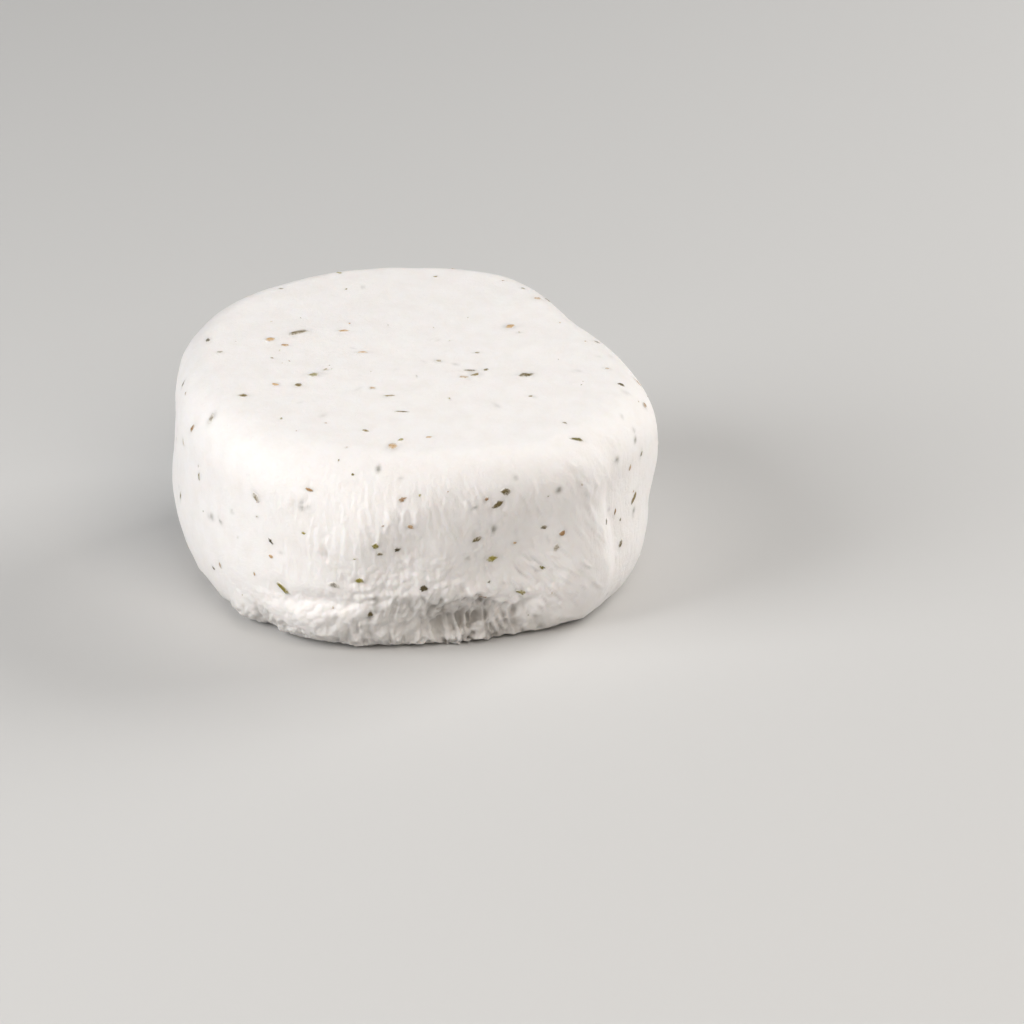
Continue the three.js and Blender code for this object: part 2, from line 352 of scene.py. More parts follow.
def bells_on_side(bearing, height, places):
    """Sum of bell curves on the side, each with a bearing, spread, height, reach and how far out."""
    return sum(
        out * bell(wrapped(bearing - at), spread) * bell(height - level, reach)
        for at, spread, level, reach, out in places
    )


# Upright smears, with sharp crests on them in patches
WANDER = (1.6, 9.0)  # how far fine marks wander from straight, and over what size of cells
WANDER_SEEDS = (14, 15, 16)
UPRIGHT = np.array([1, 1, 0.3])  # noise read from points squeezed like this is drawn out upright
SMEARS = ((-88, 34, 1.0), (105, 40, 0.8))  # bearing, spread and strength
FAINT_SMEAR = 0.2  # strength away from those places
SMEAR_BANDS = (0.2, 3.6, 3)
SMEAR_CRESTS = (0.2, 2.0, 4)
SMEAR_PATCHES = (1.4, 11.0, 12)
LEAST_PATCH = 0.3


def wandering(points):
    """The points moved about by slow noise, so that marks read from them aren't straight."""
    distance, cell = WANDER
    return points + distance * np.stack([soft_noise(points, cell, seed) for seed in WANDER_SEEDS], axis=-1)


def finger_smears(points, upright):
    """Upright bands, and sharp crests where slow noise is above zero."""
    patches = LEAST_PATCH + np.maximum(noise_layers(points, SMEAR_PATCHES), 0)
    return noise_layers(upright, SMEAR_BANDS) + crest_layers(upright, SMEAR_CRESTS) * patches


# Slanting folds at the ridge, and shallow presses of a hand: bearing, spread, height, reach, how far out
SLANTING_FOLDS = ((-50, 11, 48, 9, 0.35), (-53, 9, 16, 8, 0.6))
FOLD_LEAN = np.array([0.77, 0.64, 0])  # the folds run right by this much for each unit down
FOLD_DRAWN = np.array([1, 1, 0.15])
FOLD_NOISE = (1.0, 2.6, 6)
HAND_PRESSES = {
    "ridge crest": (-39.5, 2.6, 30, 20, 0.8),
    "ridge crease": (-35.5, 1.2, 36, 17, -0.4),
    "right waist": (2, 16, 25, 7, -0.9),
    "front crest": (-81, 6, 34, 15, 1.0),
    "front dent": (-92, 7, 34, 15, -1.4),
}
PRESS_WANDER = (1.8, 13.0, 22)  # in degrees


def slanting_folds(points, bent, bearing, height):
    """Noise drawn out along a slant, in two places on the ridge."""
    slanting = (bent + points[..., 2:] * FOLD_LEAN) * FOLD_DRAWN
    return noise_layers(slanting, FOLD_NOISE) * bells_on_side(bearing, height, SLANTING_FOLDS)


# A mound at the left of the foot, under an uneven crease
MOUND_BEARING = -113
MOUND_SPREAD = 11
MOUND_TOP = 15.5
MOUND_TILT = 0.04  # rise of its crease for each degree round
MOUND_EDGE = 0.7  # softness of its upper edge
MOUND_REACH = 7.5  # how far down it falls away
MOUND_OUT = 0.9
MOUND_UNEVEN = (0.7, 4.5, 21)
CREASE_WANDER = (2.0, 6.5, 18)
CREASE_SHARE = 0.35  # of how far the mound stands out
CREASE_REACH = 1.6


def foot_mound(points, bearing, height):
    """A step that falls away below an uneven line, with a groove along the line."""
    turn = wrapped(bearing - MOUND_BEARING)
    below = MOUND_TOP + noise_layers(points, CREASE_WANDER) + MOUND_TILT * turn - height
    step = logistic(below / MOUND_EDGE) * bell(below, MOUND_REACH)
    step = step - CREASE_SHARE * bell(below, CREASE_REACH)
    return step * (MOUND_OUT + noise_layers(points, MOUND_UNEVEN)) * bell(turn, MOUND_SPREAD)


# The tear: its ragged line, and the bare curd below it in lumps and hanging threads. Each shift of
# the line is a bearing, a spread and a rise.
TEAR_SHIFTS = ((-134, 11, 5.0), (-118, 14, 2.0), (-92, 12, 2.5), (-172, 38, -5.5), (-12, 30, -5.0))
TEAR_RAGGED = (3.0, 7.0, 7)
TEAR_FRINGE = (1.6, 2.4, 8)
TEAR_EDGE = 0.4  # softness of the line
COARSE_LUMPS = (2.0, 4.8, 20)
COARSE_DRAWN = np.array([1, 1, 0.6])
SMALL_LUMPS = (1.2, 2.3, 30)
SMALL_DRAWN = np.array([1, 1, 0.7])
THREADS = ((1.1, 2.2, 9), (1.2, 1.25, 10))
TORN_GRAIN = (0.35, 1.1, 11)
STRINGY = (6, 9.0, 19)  # where threads hang more than lumps
LUMPS_LOST = 0.6  # share of the lumps that is lost there
LEAST_THREADS = 0.35


def tear_line(points, upright, bearing):
    """Height of the skin's torn edge: the tear's own height, shifted and made ragged by noise."""
    plain_line = tear_height(bearing) + bumps_round(bearing, TEAR_SHIFTS)
    return plain_line + noise_layers(points, TEAR_RAGGED) + noise_layers(upright, TEAR_FRINGE)


def torn_curd(points, bent, upright):
    """Roughness of bare curd: rounded lumps in some places, hanging threads in others, and fine grain."""
    lumps = lump_layers(bent * COARSE_DRAWN, COARSE_LUMPS) + lump_layers(bent * SMALL_DRAWN, SMALL_LUMPS)
    stringy = logistic(noise_layers(points, STRINGY))
    threads = crest_layers(upright, *THREADS) * (LEAST_THREADS + (1 - LEAST_THREADS) * stringy)
    return lumps * (1 - LUMPS_LOST * stringy) + threads + noise_layers(points, TORN_GRAIN)


DIMPLES = ((0.2, 13.0, 1), (0.1, 4.5, 2))
SIDE_TOP = 56  # height at which the side's marks fade out
SIDE_FADE = 3
GRAINS = ((0.28, 3.0, 40), (0.22, 1.7, 45))
GRAIN_PATCHES = (1.3, 12.0, 17)
GRAIN_OVER_TEAR = (1.3, 2, 11)  # how much more, how far over the tear, and its reach
LEDGE = ((-72, 13, 1.0), (98, 18, 0.7))  # bearing, spread and strength of the ledge over the tear
LIP = (1.5, 1.0, 1.7)  # how far the ledge's lumps curl out, how far over the tear, and their reach
LIP_LUMPS = (3.6, 50)  # size of cells and seed
FOOT_LUMPS = ((-126, 19, 0.42),)  # bearing, spread and extra roughness
ROUGH_SHARE = (0.65, 1.05)  # away from the ledge and at it, as are the next two
RECESS_SHARE = (0.45, 1.0)
CREVICE_SHADE_SHARE = (0.3, 1.2)
TEAR_RECESS = 0.7
LEDGE_RECESS = ((-76, 20, 0.7), (98, 24, 0.8))  # bearing, spread and extra depth of the recess
# Painted shade: darker in the crevices of the torn curd, in a shadow under the ledge, and in the grooves
# of drag marks and smears
CREVICE_SHADE_START = 0.45  # painted shade where the roughness is zero, and how fast it goes as the curd rises
CREVICE_SHADE_FALL = 0.55
SHADE_UNDER_LEDGE = (0.3, 4, 1.5)  # how much more painted shadow under the ledge, how far under the tear, and its softness
DRAG_GROOVE_SHADE = 1.7  # painted shade for each millimetre of a groove's depth
SMEAR_GROOVE_SHADE = 0.9
MOST_GROOVE_SHADE = 0.4
# Grey on the torn curd, low on the foot and on the mound: partly damper curd, partly painted shade, darker
# towards the bottom
DAMP_AND_SHADE_HEIGHT = 8
DAMP_AND_SHADE_FADE = 2.5
LEAST_DAMP_AND_SHADE = 0.4
DAMP_AND_SHADE_MOUND = ((-113, 16.5, 0.5),)  # bearing, spread and extra grey, partly damper curd and partly painted shade


def curd_relief(points, bearing, along, height):
    """How far the real skin stands out of the plain one, how much grey of damper curd and painted shade
    lies on it, and how much painted shade lies in its crevices and grooves.

    Slow dimples lie everywhere. Smears, grain and drag marks lie on the side, most in front and behind,
    with slanting folds at the ridge, and a mound with a crease over it at the left of the foot.
    Below a ragged line the skin is gone: the curd is recessed, in lumps and in hanging threads.
    """
    bent = wandering(points)
    upright = bent * UPRIGHT
    ragged = tear_line(points, upright, bearing)
    torn = logistic((ragged - height) / TEAR_EDGE)
    ledge = bumps_round(bearing, LEDGE)
    on_side = logistic((SIDE_TOP - height) / SIDE_FADE)
    strength = on_side * (FAINT_SMEAR + bumps_round(bearing, SMEARS))
    smears = strength * finger_smears(points, upright)
    drags = on_side * dragged(bearing, along)
    more_grain, grain_rise, grain_reach = GRAIN_OVER_TEAR
    grainy = np.clip(0.5 + noise_layers(points, GRAIN_PATCHES), 0, 1)
    grainy = grainy + more_grain * bell(height - ragged - grain_rise, grain_reach)
    grains = strength * grainy * lump_layers(bent, *GRAINS)
    lip_out, lip_rise, lip_reach = LIP
    lip = lip_out * ledge * bell(height - ragged - lip_rise, lip_reach) * fine_lumps(bent, *LIP_LUMPS)
    press_bearing = bearing + noise_layers(points, PRESS_WANDER)
    pressed = on_side * bells_on_side(press_bearing, height, HAND_PRESSES.values())
    folds = slanting_folds(points, bent, bearing, height)
    whole = smears + grains + folds + foot_mound(points, bearing, height) + drags + lip + pressed

    rough = torn_curd(points, bent, upright)
    rough_share = torn_share(bearing) * between(ROUGH_SHARE, ledge) + bumps_round(bearing, FOOT_LUMPS)
    recess = TEAR_RECESS + bumps_round(bearing, LEDGE_RECESS)
    recess = recess * torn_share(bearing) * between(RECESS_SHARE, ledge)
    relief = noise_layers(points, *DIMPLES) + whole * (1 - torn) + torn * (rough * rough_share - recess)

    # Painted shade: darker in the crevices of the torn curd, in a shadow under the ledge, and in the
    # grooves of drag marks and smears
    crevice_shading = torn * between(CREVICE_SHADE_SHARE, ledge) * np.clip(CREVICE_SHADE_START - CREVICE_SHADE_FALL * rough, 0, 1)
    more_shade, shade_drop, shade_fade = SHADE_UNDER_LEDGE
    crevice_shading = crevice_shading + more_shade * torn * ledge * logistic((ragged - shade_drop - height) / shade_fade)
    groove_shade = np.clip(-DRAG_GROOVE_SHADE * drags - SMEAR_GROOVE_SHADE * smears, 0, MOST_GROOVE_SHADE)
    crevice_shading = crevice_shading + (1 - torn) * groove_shade
    # Grey on the torn curd, low on the foot and on the mound: partly damper curd, partly painted shade
    low = logistic((DAMP_AND_SHADE_HEIGHT - height) / DAMP_AND_SHADE_FADE)
    damp_and_painted_shade = np.maximum(torn, low * (LEAST_DAMP_AND_SHADE + bumps_round(bearing, DAMP_AND_SHADE_MOUND)))
    return relief, damp_and_painted_shade, crevice_shading


FOOT_SPLAY = 0.15  # how much more than square the foot's relief moves outwards
BASE_FADE = 1.5  # distance in from the footprint's edge over which the relief dies out


def real_skin(bearing, along):
    """Points of the skin with its relief, moved outwards but never down, so that the base stays flat."""
    points = plain_skin(bearing, along)
    height = height_at(along)
    radial = np.stack([np.cos(np.radians(bearing)), np.sin(np.radians(bearing)), 0 * bearing], axis=-1)
    outward = skin_axes(bearing, along)[2]
    outward = np.concatenate([outward[..., :2], np.maximum(outward[..., 2:], 0)], axis=-1)
    outward = unit(outward + FOOT_SPLAY * radial * (height < FOOT_RISE)[..., None])
    relief = curd_relief(points, bearing, along, height)[0] * np.clip(along / BASE_FADE + 1, 0, 1)
    points = points + outward * relief[..., None]
    return np.concatenate([points[..., :2], np.maximum(points[..., 2:], 0)], axis=-1)


COLUMNS = 560
FINE_FRONT = ((-82, 48, 1.5),)  # bearing, spread and how much closer the columns lie there
BEARING_STEPS = 3601
BASE_ROWS = 5
FOOT_ROWS = 88
SIDE_ROWS = 50
TOP_ROWS = 34
FINE_LENGTH = 40.0  # length of skin up from the footprint's edge that has the foot's fine rows


def column_bearings():
    """Bearings of the columns, closer together where the front's relief is finest."""
    bearing = np.linspace(-180, 180, BEARING_STEPS)
    walked = np.cumsum(1 + bumps_round(bearing, FINE_FRONT))
    walked = (walked - walked[0]) / (walked[-1] - walked[0])
    return np.interp(np.arange(COLUMNS) / COLUMNS, walked, bearing)


def closed_drum(rows, columns):
    """Triangles of a closed grid of rows round an axis: two for each cell, and a fan at either pole.

    Vertices run row by row from the lowest, then come the lower and the upper pole.
    """
    row, column = np.meshgrid(np.arange(rows - 1), np.arange(columns), indexing="ij")
    here = row * columns + column
    beside = row * columns + (column + 1) % columns
    lower = np.stack([here, beside, beside + columns], axis=-1).reshape(-1, 3)
    upper = np.stack([here, beside + columns, here + columns], axis=-1).reshape(-1, 3)
    around = np.arange(columns)
    following = (around + 1) % columns
    last = (rows - 1) * columns
    under = np.stack([following, around, np.full(columns, rows * columns)], axis=-1)
    over = np.stack([last + around, last + following, np.full(columns, rows * columns + 1)], axis=-1)
    return np.concatenate([lower, upper, under, over])


def new_piece(name, points, triangles, material):
    """An object at the origin with these points, in metres, and smooth triangles."""
    mesh = bpy.data.meshes.new(name)
    mesh.from_pydata(points, [], triangles)
    mesh.polygons.foreach_set("use_smooth", np.ones(len(triangles), dtype=bool))
    mesh.materials.append(material)
    mesh.update()
    piece = bpy.data.objects.new(name, mesh)
    bpy.context.scene.collection.objects.link(piece)
    return piece


def add_values(piece, name, values):
    """A number on each point of a piece, for its material to read."""
    attribute = piece.data.attributes.new(name, "FLOAT", "POINT")
    attribute.data.foreach_set("value", np.asarray(values, dtype=np.float32))


CURD_WHITE = (0.945, 0.915, 0.9, 1)
CURD_CREAM = (0.915, 0.878, 0.852, 1)
# Grey of damper curd, which is also painted shade on the torn curd, low on the foot and on the mound
WET_CURD_AND_PAINTED_SHADE = (0.77, 0.745, 0.72, 1)
# Darker grey of painted shade in crevices, grooves and under the ledge
PAINTED_CREVICE_SHADE = (0.46, 0.435, 0.405, 1)
HERB_STAIN = (0.24, 0.235, 0.2, 1)
CLOUDS = (170, 5, 0.6)  # noise: waves a metre, detail, roughness
CLOUD_LIMITS = (0.3, 0.6)
GRAIN = (1000, 6, 0.72)
GRAIN_BUMP = (0.6, 0.0004)  # strength, and height in metres
STREAKS = (800, 3, 0.6)
STREAK_DRAWN = (1, 1, 0.16)
STREAK_BUMP = (0.5, 0.0003)
CURD_ROUGHNESS = (0.4, 0.62)
CURD_SPECULAR = 0.35
LIGHT_PASSING_IN = 0.2
LIGHT_REACH = 0.0013
LIGHT_REACH_SHARES = (1.0, 0.75, 0.55)


def noise_node(nodes, scale, detail, roughness):
    """A noise texture of this many waves a metre."""
    noise = nodes.new("ShaderNodeTexNoise")
    noise.inputs["Scale"].default_value = scale
    noise.inputs["Detail"].default_value = detail
    noise.inputs["Roughness"].default_value = roughness
    return noise


def bump_node(nodes, strength, distance):
    """A bump of this strength, with its height in metres."""
    bump = nodes.new("ShaderNodeBump")
    bump.inputs["Strength"].default_value = strength
    bump.inputs["Distance"].default_value = distance
    return bump


def curd_material(name):
    """Moist white curd: two off-whites in soft clouds, greyed where it is damper and where shade is
    painted low on the foot, darkened by painted shade in crevices, grooves and under the ledge, and tinted
    near a herb.

    Fine upright streaks and a grain roughen it, and a little light passes in.
    """
    material = bpy.data.materials.new(name)
    material.use_nodes = True
    nodes, links = material.node_tree.nodes, material.node_tree.links
    shader = nodes["Principled BSDF"]
    place = nodes.new("ShaderNodeTexCoord")
    clouds = noise_node(nodes, *CLOUDS)
    tones = nodes.new("ShaderNodeValToRGB")
    for stop, position, tone in zip(tones.color_ramp.elements, CLOUD_LIMITS, (CURD_CREAM, CURD_WHITE)):
        stop.position = position
        stop.color = tone
    grain = noise_node(nodes, *GRAIN)
    bump = bump_node(nodes, *GRAIN_BUMP)
    drawn = nodes.new("ShaderNodeMapping")
    drawn.inputs["Scale"].default_value = STREAK_DRAWN
    streaks = noise_node(nodes, *STREAKS)
    smear = bump_node(nodes, *STREAK_BUMP)
    gloss = nodes.new("ShaderNodeMapRange")
    gloss.inputs["To Min"].default_value = CURD_ROUGHNESS[0]
    gloss.inputs["To Max"].default_value = CURD_ROUGHNESS[1]
    links.new(place.outputs["Object"], clouds.inputs["Vector"])
    links.new(place.outputs["Object"], grain.inputs["Vector"])
    links.new(place.outputs["Object"], drawn.inputs["Vector"])
    links.new(drawn.outputs["Vector"], streaks.inputs["Vector"])
    links.new(streaks.outputs["Fac"], smear.inputs["Height"])
    links.new(smear.outputs["Normal"], bump.inputs["Normal"])
    links.new(clouds.outputs["Fac"], tones.inputs["Fac"])
    colour = tones.outputs["Color"]
    # Layers over the curd's tones: grey for damper curd with painted shade at the foot, darker painted
    # shade in crevices, grooves and under the ledge, and the herbs' stain
    for values, tint in (("damp_and_painted_shade", WET_CURD_AND_PAINTED_SHADE), ("crevice_shade", PAINTED_CREVICE_SHADE), ("herb_stain", HERB_STAIN)):
        amount = nodes.new("ShaderNodeAttribute")
        amount.attribute_name = values
        layer = nodes.new("ShaderNodeMix")
        layer.data_type = "RGBA"
        layer.inputs["B"].default_value = tint
        links.new(amount.outputs["Fac"], layer.inputs["Factor"])
        links.new(colour, layer.inputs["A"])
        colour = layer.outputs["Result"]
    links.new(colour, shader.inputs["Base Color"])
    links.new(grain.outputs["Fac"], bump.inputs["Height"])
    links.new(bump.outputs["Normal"], shader.inputs["Normal"])
    links.new(grain.outputs["Fac"], gloss.inputs["Value"])
    links.new(gloss.outputs["Result"], shader.inputs["Roughness"])
    shader.inputs["Subsurface Weight"].default_value = LIGHT_PASSING_IN
    shader.inputs["Subsurface Radius"].default_value = LIGHT_REACH_SHARES
    shader.inputs["Subsurface Scale"].default_value = LIGHT_REACH
    shader.inputs["Specular IOR Level"].default_value = CURD_SPECULAR
    return material


row_along = np.concatenate([
    np.linspace(-BASE_LENGTH, 0, BASE_ROWS, endpoint=False)[1:],
    np.linspace(0, FINE_LENGTH, FOOT_ROWS, endpoint=False),
    np.linspace(FINE_LENGTH, SIDE_LENGTH, SIDE_ROWS, endpoint=False),
    np.linspace(SIDE_LENGTH, SKIN_LENGTH, TOP_ROWS, endpoint=False),
])
grid_along, grid_bearing = np.meshgrid(row_along, column_bearings(), indexing="ij")
plain_points = plain_skin(grid_bearing, grid_along)
plan_middle = (plain_points.min(axis=(0, 1)) + plain_points.max(axis=(0, 1))) / 2 * np.array([1, 1, 0])
poles = real_skin(np.zeros(2), np.array([-BASE_LENGTH, SKIN_LENGTH]))
curd_points = np.concatenate([real_skin(grid_bearing, grid_along).reshape(-1, 3), poles])
curd = new_piece(
    "curd_round",
    (curd_points - plan_middle) * MM,
    closed_drum(len(row_along), COLUMNS),
    curd_material("fresh_curd"),
)
all_bearing = np.concatenate([grid_bearing.ravel(), np.zeros(2)])
all_along = np.concatenate([grid_along.ravel(), [-BASE_LENGTH, SKIN_LENGTH]])
all_plain = plain_skin(all_bearing, all_along)
# Amounts of grey for damper curd with painted shade at the foot, and of painted shade in crevices, grooves
# and under the ledge
_, damp_and_shade_values, crevice_shade_values = curd_relief(all_plain, all_bearing, all_along, height_at(all_along))
add_values(curd, "damp_and_painted_shade", damp_and_shade_values)
add_values(curd, "crevice_shade", crevice_shade_values)
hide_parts("cheese_round")
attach(curd, "root")

# Herb flakes
# Chopped dried herbs are stirred through the curd: dark leaf, olive stalk and tan husk. Those at the
# skin lie flush in it under a thin film of curd, and those just under it show as soft grey blots.

# Flakes that lie where they show, a large list and a small one for each kind. Each flake is its bearing,
# its distance along the skin, its length and width, and how far its length is turned from level.
LARGE_FLAKES = {
    "leaf": (
        (159, 99, 7, 2.6, 145), (-146, 95.5, 2.6, 2, 40), (-104, 85, 2.4, 1.6, 175),
        (-102, 107.5, 3.3, 1, 21), (-93, 98, 4.6, 0.7, 178), (-25, 115.5, 4, 1.4, 121),
        (-14, 100, 5.2, 2.4, 131), (-149, 78, 3.2, 1.9, 76), (-9, 72.5, 2.8, 1.5, 99),
        (49, 70.5, 2.9, 1.3, 39), (-123, 39.5, 2.3, 1.3, 132), (-86, 28, 2.9, 2.4, 156),
        (-73, 43, 3.4, 2.3, 16), (-68, 55, 4.4, 2.2, 28), (-66, 59, 3.2, 2.5, 7),
        (-25, 40.5, 4.6, 1.7, 39),
    ),
    "stalk": (
        (-152, 102.5, 4.4, 2.6, 88), (-43, 71, 4, 1.5, 142), (-120, 25, 5.8, 1.7, 137),
        (-60, 21.5, 3.2, 1.7, 164), (-68, 34, 4.3, 2.3, 2),
    ),
    "husk": (
        (169, 92.5, 3.4, 2.2, 117), (143, 110, 3.8, 1.6, 132), (176, 120, 3.2, 1.1, 98),
        (39, 93.5, 3.8, 2.8, 93), (-156, 59, 3.6, 1.6, 52), (-94, 77.5, 4.4, 2.6, 70),
        (-9, 63, 3.2, 2, 172), (-113, 59, 2.4, 1.2, 176), (-91, 59.5, 2.5, 1.4, 20),
    ),
}
SMALL_FLAKES = {
    "leaf": (
        (-179, 77.5, 2.1, 1.4, 104), (-155, 107, 2, 1.2, 105), (-19, 125.5, 2, 1.6, 91),
        (-29, 113, 3, 1.5, 159), (-17, 111.5, 2.2, 1.4, 144), (-32, 94, 1.7, 1, 140),
        (-40, 78, 1.8, 1, 100), (12, 113, 1.6, 1, 85), (57, 75, 1.5, 0.9, 31), (83, 80, 1.6, 1, 26),
        (-150, 47.5, 2.8, 1.8, 71), (-145, 21, 1.5, 1.2, 171), (-96, 41, 2, 1.6, 11),
        (-92, 42, 2.1, 1.7, 26), (-55, 43, 2.1, 1.7, 12), (-38, 39.5, 2.1, 1.3, 54),
        (-33, 29.5, 3, 1.5, 51), (-21, 53.5, 2.4, 1.2, 53), (-99, 19.5, 2.6, 1.8, 64),
    ),
    "stalk": (
        (-92, 81.5, 2.3, 1.5, 58), (-101, 31.5, 2.7, 1.8, 10), (-97, 44, 2.6, 2.2, 42),
        (-55, 29, 1.8, 1.2, 162), (-32, 37, 1.4, 0.9, 61), (-103, 65.5, 1, 0.8, 157),
        (-114, 45, 1.4, 0.8, 179), (-87, 60.5, 1.1, 0.9, 17),
    ),
    "husk": (
        (173, 97, 2.6, 1.6, 100), (-151, 89.5, 2.4, 1.6, 35), (-83, 83, 2, 1.1, 7),
        (-38, 115, 3.2, 1.8, 122), (-116, 110.5, 2, 1.3, 17), (-1, 76, 1.6, 1.1, 81),
        (64, 76, 1.3, 0.7, 44), (-123, 34.5, 1.5, 1.2, 172), (-141, 24, 2.5, 1.2, 96),
        (-128, 27, 1.1, 0.7, 105), (-89, 50.5, 2.2, 1.5, 163), (-71, 57.5, 2, 1.2, 59),
        (-62, 38.5, 1.5, 1.1, 4), (-51, 40.5, 2.3, 1.8, 60), (-70, 21, 1.9, 1.5, 10),
        (-34, 40.5, 2.2, 1, 70), (-27, 52, 2.2, 1.2, 72),
    ),
}
# Leaf that lies a little deeper, so that curd veils it
VEILED_LEAVES = (
    (-149, 66, 3.4, 2.2, 96), (132, 76.5, 2.2, 1.4, 162), (-127, 52, 3.2, 2, 128),
    (-107, 29.5, 3.2, 2.4, 164), (-52, 35.5, 2.6, 1.6, 77),
)
# Large soft blots that show on the side, in the columns of the flakes
SUNK_FLAKES = (
    (-144, 38, 3.6, 2.2, 12), (-140, 39, 2.6, 1.6, 136), (-114, 53.5, 3.6, 3, 135),
    (-135, 44, 1.8, 1.4, 164), (-69, 45.5, 3.2, 3.4, 20), (-98, 24.5, 3, 3.4, 90),
    (-92, 25, 2, 3, 90), (-97, 68, 2.4, 1.6, 90), (-33, 58, 2.4, 1.9, 22),
    (-23, 59.5, 2.6, 1.4, 35), (-22, 62.5, 1.8, 1.4, 171), (-74, 55, 2, 1.2, 14),
    (-53, 57, 2.4, 1.8, 20), (-25.5, 36, 3, 1.8, 60),
)
# The rest are strewn by a rule. A length's power over 1 makes more of them short than long.
KINDS = ("leaf", "husk", "leaf", "stalk", "husk")
SHARE_ON_TOP = 0.32
BACK_FLAKE_COUNT = 46
BACK_BEARINGS = (-12, 205)
BACK_ALONG = (9, 76)
BACK_FLAKE_LENGTH = (1.9, 3.4)
BACK_FLAKE_POWER = 2
BACK_FLAKE_WIDTH_SHARE = 0.6
SPECK_COUNT = 60
SPECK_RULE = ((0.5, 1.4), 0.65, 2)  # lengths, width for each unit of length, power of the length
SUNK_COUNT = 40
SUNK_RULE = ((1.2, 3.2), 0.75, 1)
# Curd over the flakes: least, most, and how much more on the top. The tones are in the same columns.
LARGE_FILM = (-0.15, 0.1, 0.12)
SMALL_FILM = (-0.1, 0.2, 0.1)
VEILED_FILM = (0.22, 0.34, 0)
BACK_FILM = (-0.1, 0.35, 0)
SPECK_FILM = (0, 0.4, 0)
FLAKE_TONE = (0, 1.5, 0.8)
herb_draw = np.random.default_rng(11)


def along_at(rise):
    """Distance along the skin for an even share of its area: the top first, then down the side."""
    on_top = SKIN_LENGTH - TOP_LENGTH * np.sqrt(np.minimum(rise / SHARE_ON_TOP, 1))
    on_side = BACK_ALONG[0] + (rise - SHARE_ON_TOP) / (1 - SHARE_ON_TOP) * (SIDE_LENGTH - BACK_ALONG[0])
    return np.where(rise < SHARE_ON_TOP, on_top, on_side)


def scattered(bearing, along, length, width_share, spin):
    """Columns of bearing, along, length, width and turn."""
    return np.stack([bearing, along, length, width_share * length, 180 * spin], axis=-1)


def strewn(count, lengths, width_share, power):
    """Places drawn at random over the whole skin, with more short lengths than long ones."""
    round_share, rise, size, spin = herb_draw.random((4, count))
    length = between(lengths, size ** power)
    return scattered(360 * round_share - 180, along_at(rise), length, width_share, spin)


def of_every_kind(lists):
    """All the flakes of a list for each kind as rows, and their kinds."""
    kinds = np.concatenate([[kind] * len(rows) for kind, rows in lists.items()])
    return np.concatenate([np.array(rows, dtype=float) for rows in lists.values()]), kinds


def drawn(places, least, most, more_on_top):
    """A number drawn between two limits for each place, with more added for those on the top."""
    return herb_draw.uniform(least, most, len(places)) + more_on_top * (places[:, 1] > SIDE_LENGTH)


large, large_kind = of_every_kind(LARGE_FLAKES)
small, small_kind = of_every_kind(SMALL_FLAKES)
back_round, back_rise, back_size, back_spin = evenly_spread(BACK_FLAKE_COUNT).T
back = scattered(
    between(BACK_BEARINGS, back_round),
    between(BACK_ALONG, back_rise),
    between(BACK_FLAKE_LENGTH, back_size ** BACK_FLAKE_POWER),
    BACK_FLAKE_WIDTH_SHARE,
    back_spin,
)
back_kind = np.array(KINDS)[np.arange(BACK_FLAKE_COUNT) % len(KINDS)]
specks = strewn(SPECK_COUNT, *SPECK_RULE)
speck_kind = np.array(KINDS)[herb_draw.integers(0, len(KINDS), SPECK_COUNT)]
sunk = np.concatenate([np.array(SUNK_FLAKES, dtype=float), strewn(SUNK_COUNT, *SUNK_RULE)])
veiled = np.array(VEILED_LEAVES, dtype=float)
veiled_kind = np.array(["leaf"] * len(veiled))
flakes = np.concatenate([large, small, veiled, back, specks])
flake_kind = np.concatenate([large_kind, small_kind, veiled_kind, back_kind, speck_kind])
flake_film = np.concatenate([
    drawn(large, *LARGE_FILM),
    drawn(small, *SMALL_FILM),
    drawn(veiled, *VEILED_FILM),
    drawn(back, *BACK_FILM),
    drawn(specks, *SPECK_FILM),
])
flake_tone = drawn(flakes, *FLAKE_TONE)

LEAST_RADIUS = 8.0  # so that a flake near the top's middle doesn't wind round it
FLOOR_GAP = 0.05


def laid_on_skin(bearing, along, across, up, out):
    """Points at distances across, up and out from places on the skin, bent as the skin bends."""
    point_along = along + up
    point_bearing = bearing + np.degrees(across / np.maximum(radius_at(along), LEAST_RADIUS))
    outward = skin_axes(point_bearing, point_along)[2]
    points = real_skin(point_bearing, point_along) + outward * out[..., None]
    return np.concatenate([points[..., :2], np.maximum(points[..., 2:], FLOOR_GAP)], axis=-1)


def lens_points(places, ring_share, ring_out, sides, wobble):
    """Points of closed lenses on the skin, each a stack of rings from its top's middle to its bottom's.

    A place is bearing, along, length, width, turn and proud. A ring is an ellipse with a ragged radius,
    turned by the lens's own angle, at a share of the lens's size and of its height.
    """
    bearing, along, length, width, turn, proud = (column[:, None, None] for column in places.T)
    angle = np.linspace(0, 2 * np.pi, sides, endpoint=False)
    u = length / 2 * ring_share[:, None] * np.cos(angle) * wobble
    v = width / 2 * ring_share[:, None] * np.sin(angle) * wobble
    spin = np.radians(turn)
    across = u * np.cos(spin) - v * np.sin(spin)
    up = u * np.sin(spin) + v * np.cos(spin)
    out = proud * ring_out[:, None] + 0 * across
    return laid_on_skin(bearing + 0 * across, along + 0 * across, across, up, out)


